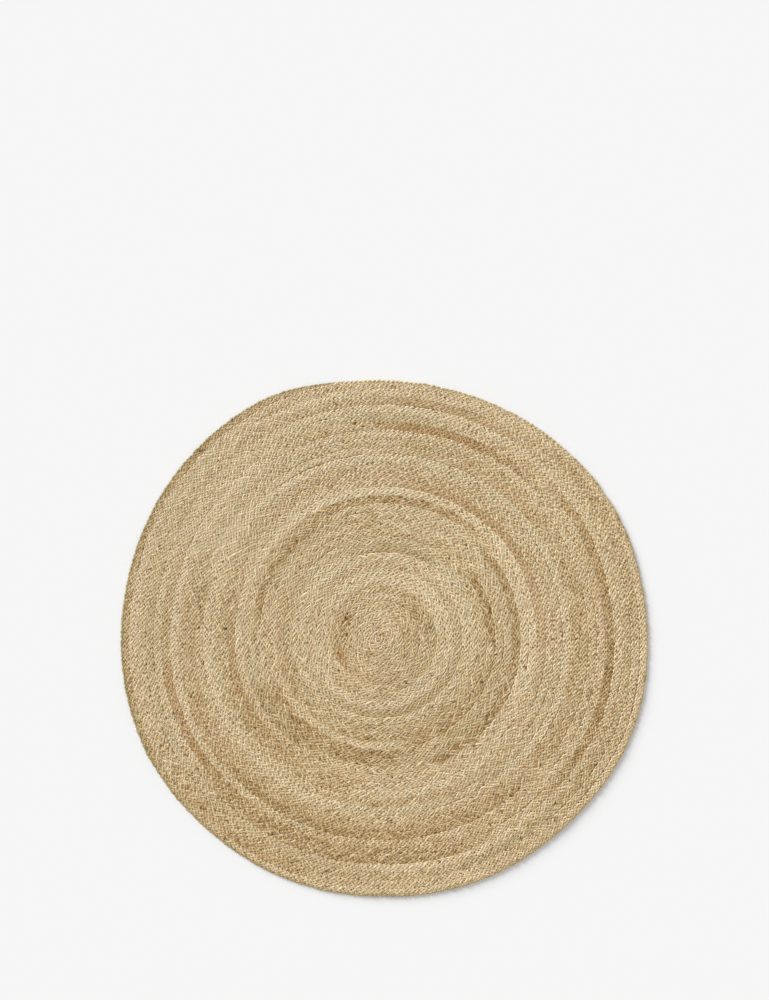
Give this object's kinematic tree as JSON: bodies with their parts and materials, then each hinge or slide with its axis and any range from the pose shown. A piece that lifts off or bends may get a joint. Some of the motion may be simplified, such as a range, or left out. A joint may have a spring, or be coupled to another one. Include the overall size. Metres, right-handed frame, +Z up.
{
  "type": "round jute rug",
  "caption": "Round flat rug of jute plait, coiled outwards from the middle and sewn edge to edge, with a slightly uneven rim.",
  "frame": {"origin": "middle of the outline's box, on the underside", "axes": "+Z up from the floor; +X to the right and +Y to the top of the rug as seen from above, with the plait's tail near +Y"},
  "size_m": [1.2056, 1.18, 0.009],
  "materials": {
    "jute": "undyed straw-coloured jute plait, matt, with darker brown stretches"
  },
  "bodies": {
    "root": {"braided_rug": "jute"}
  },
  "joints": []
}
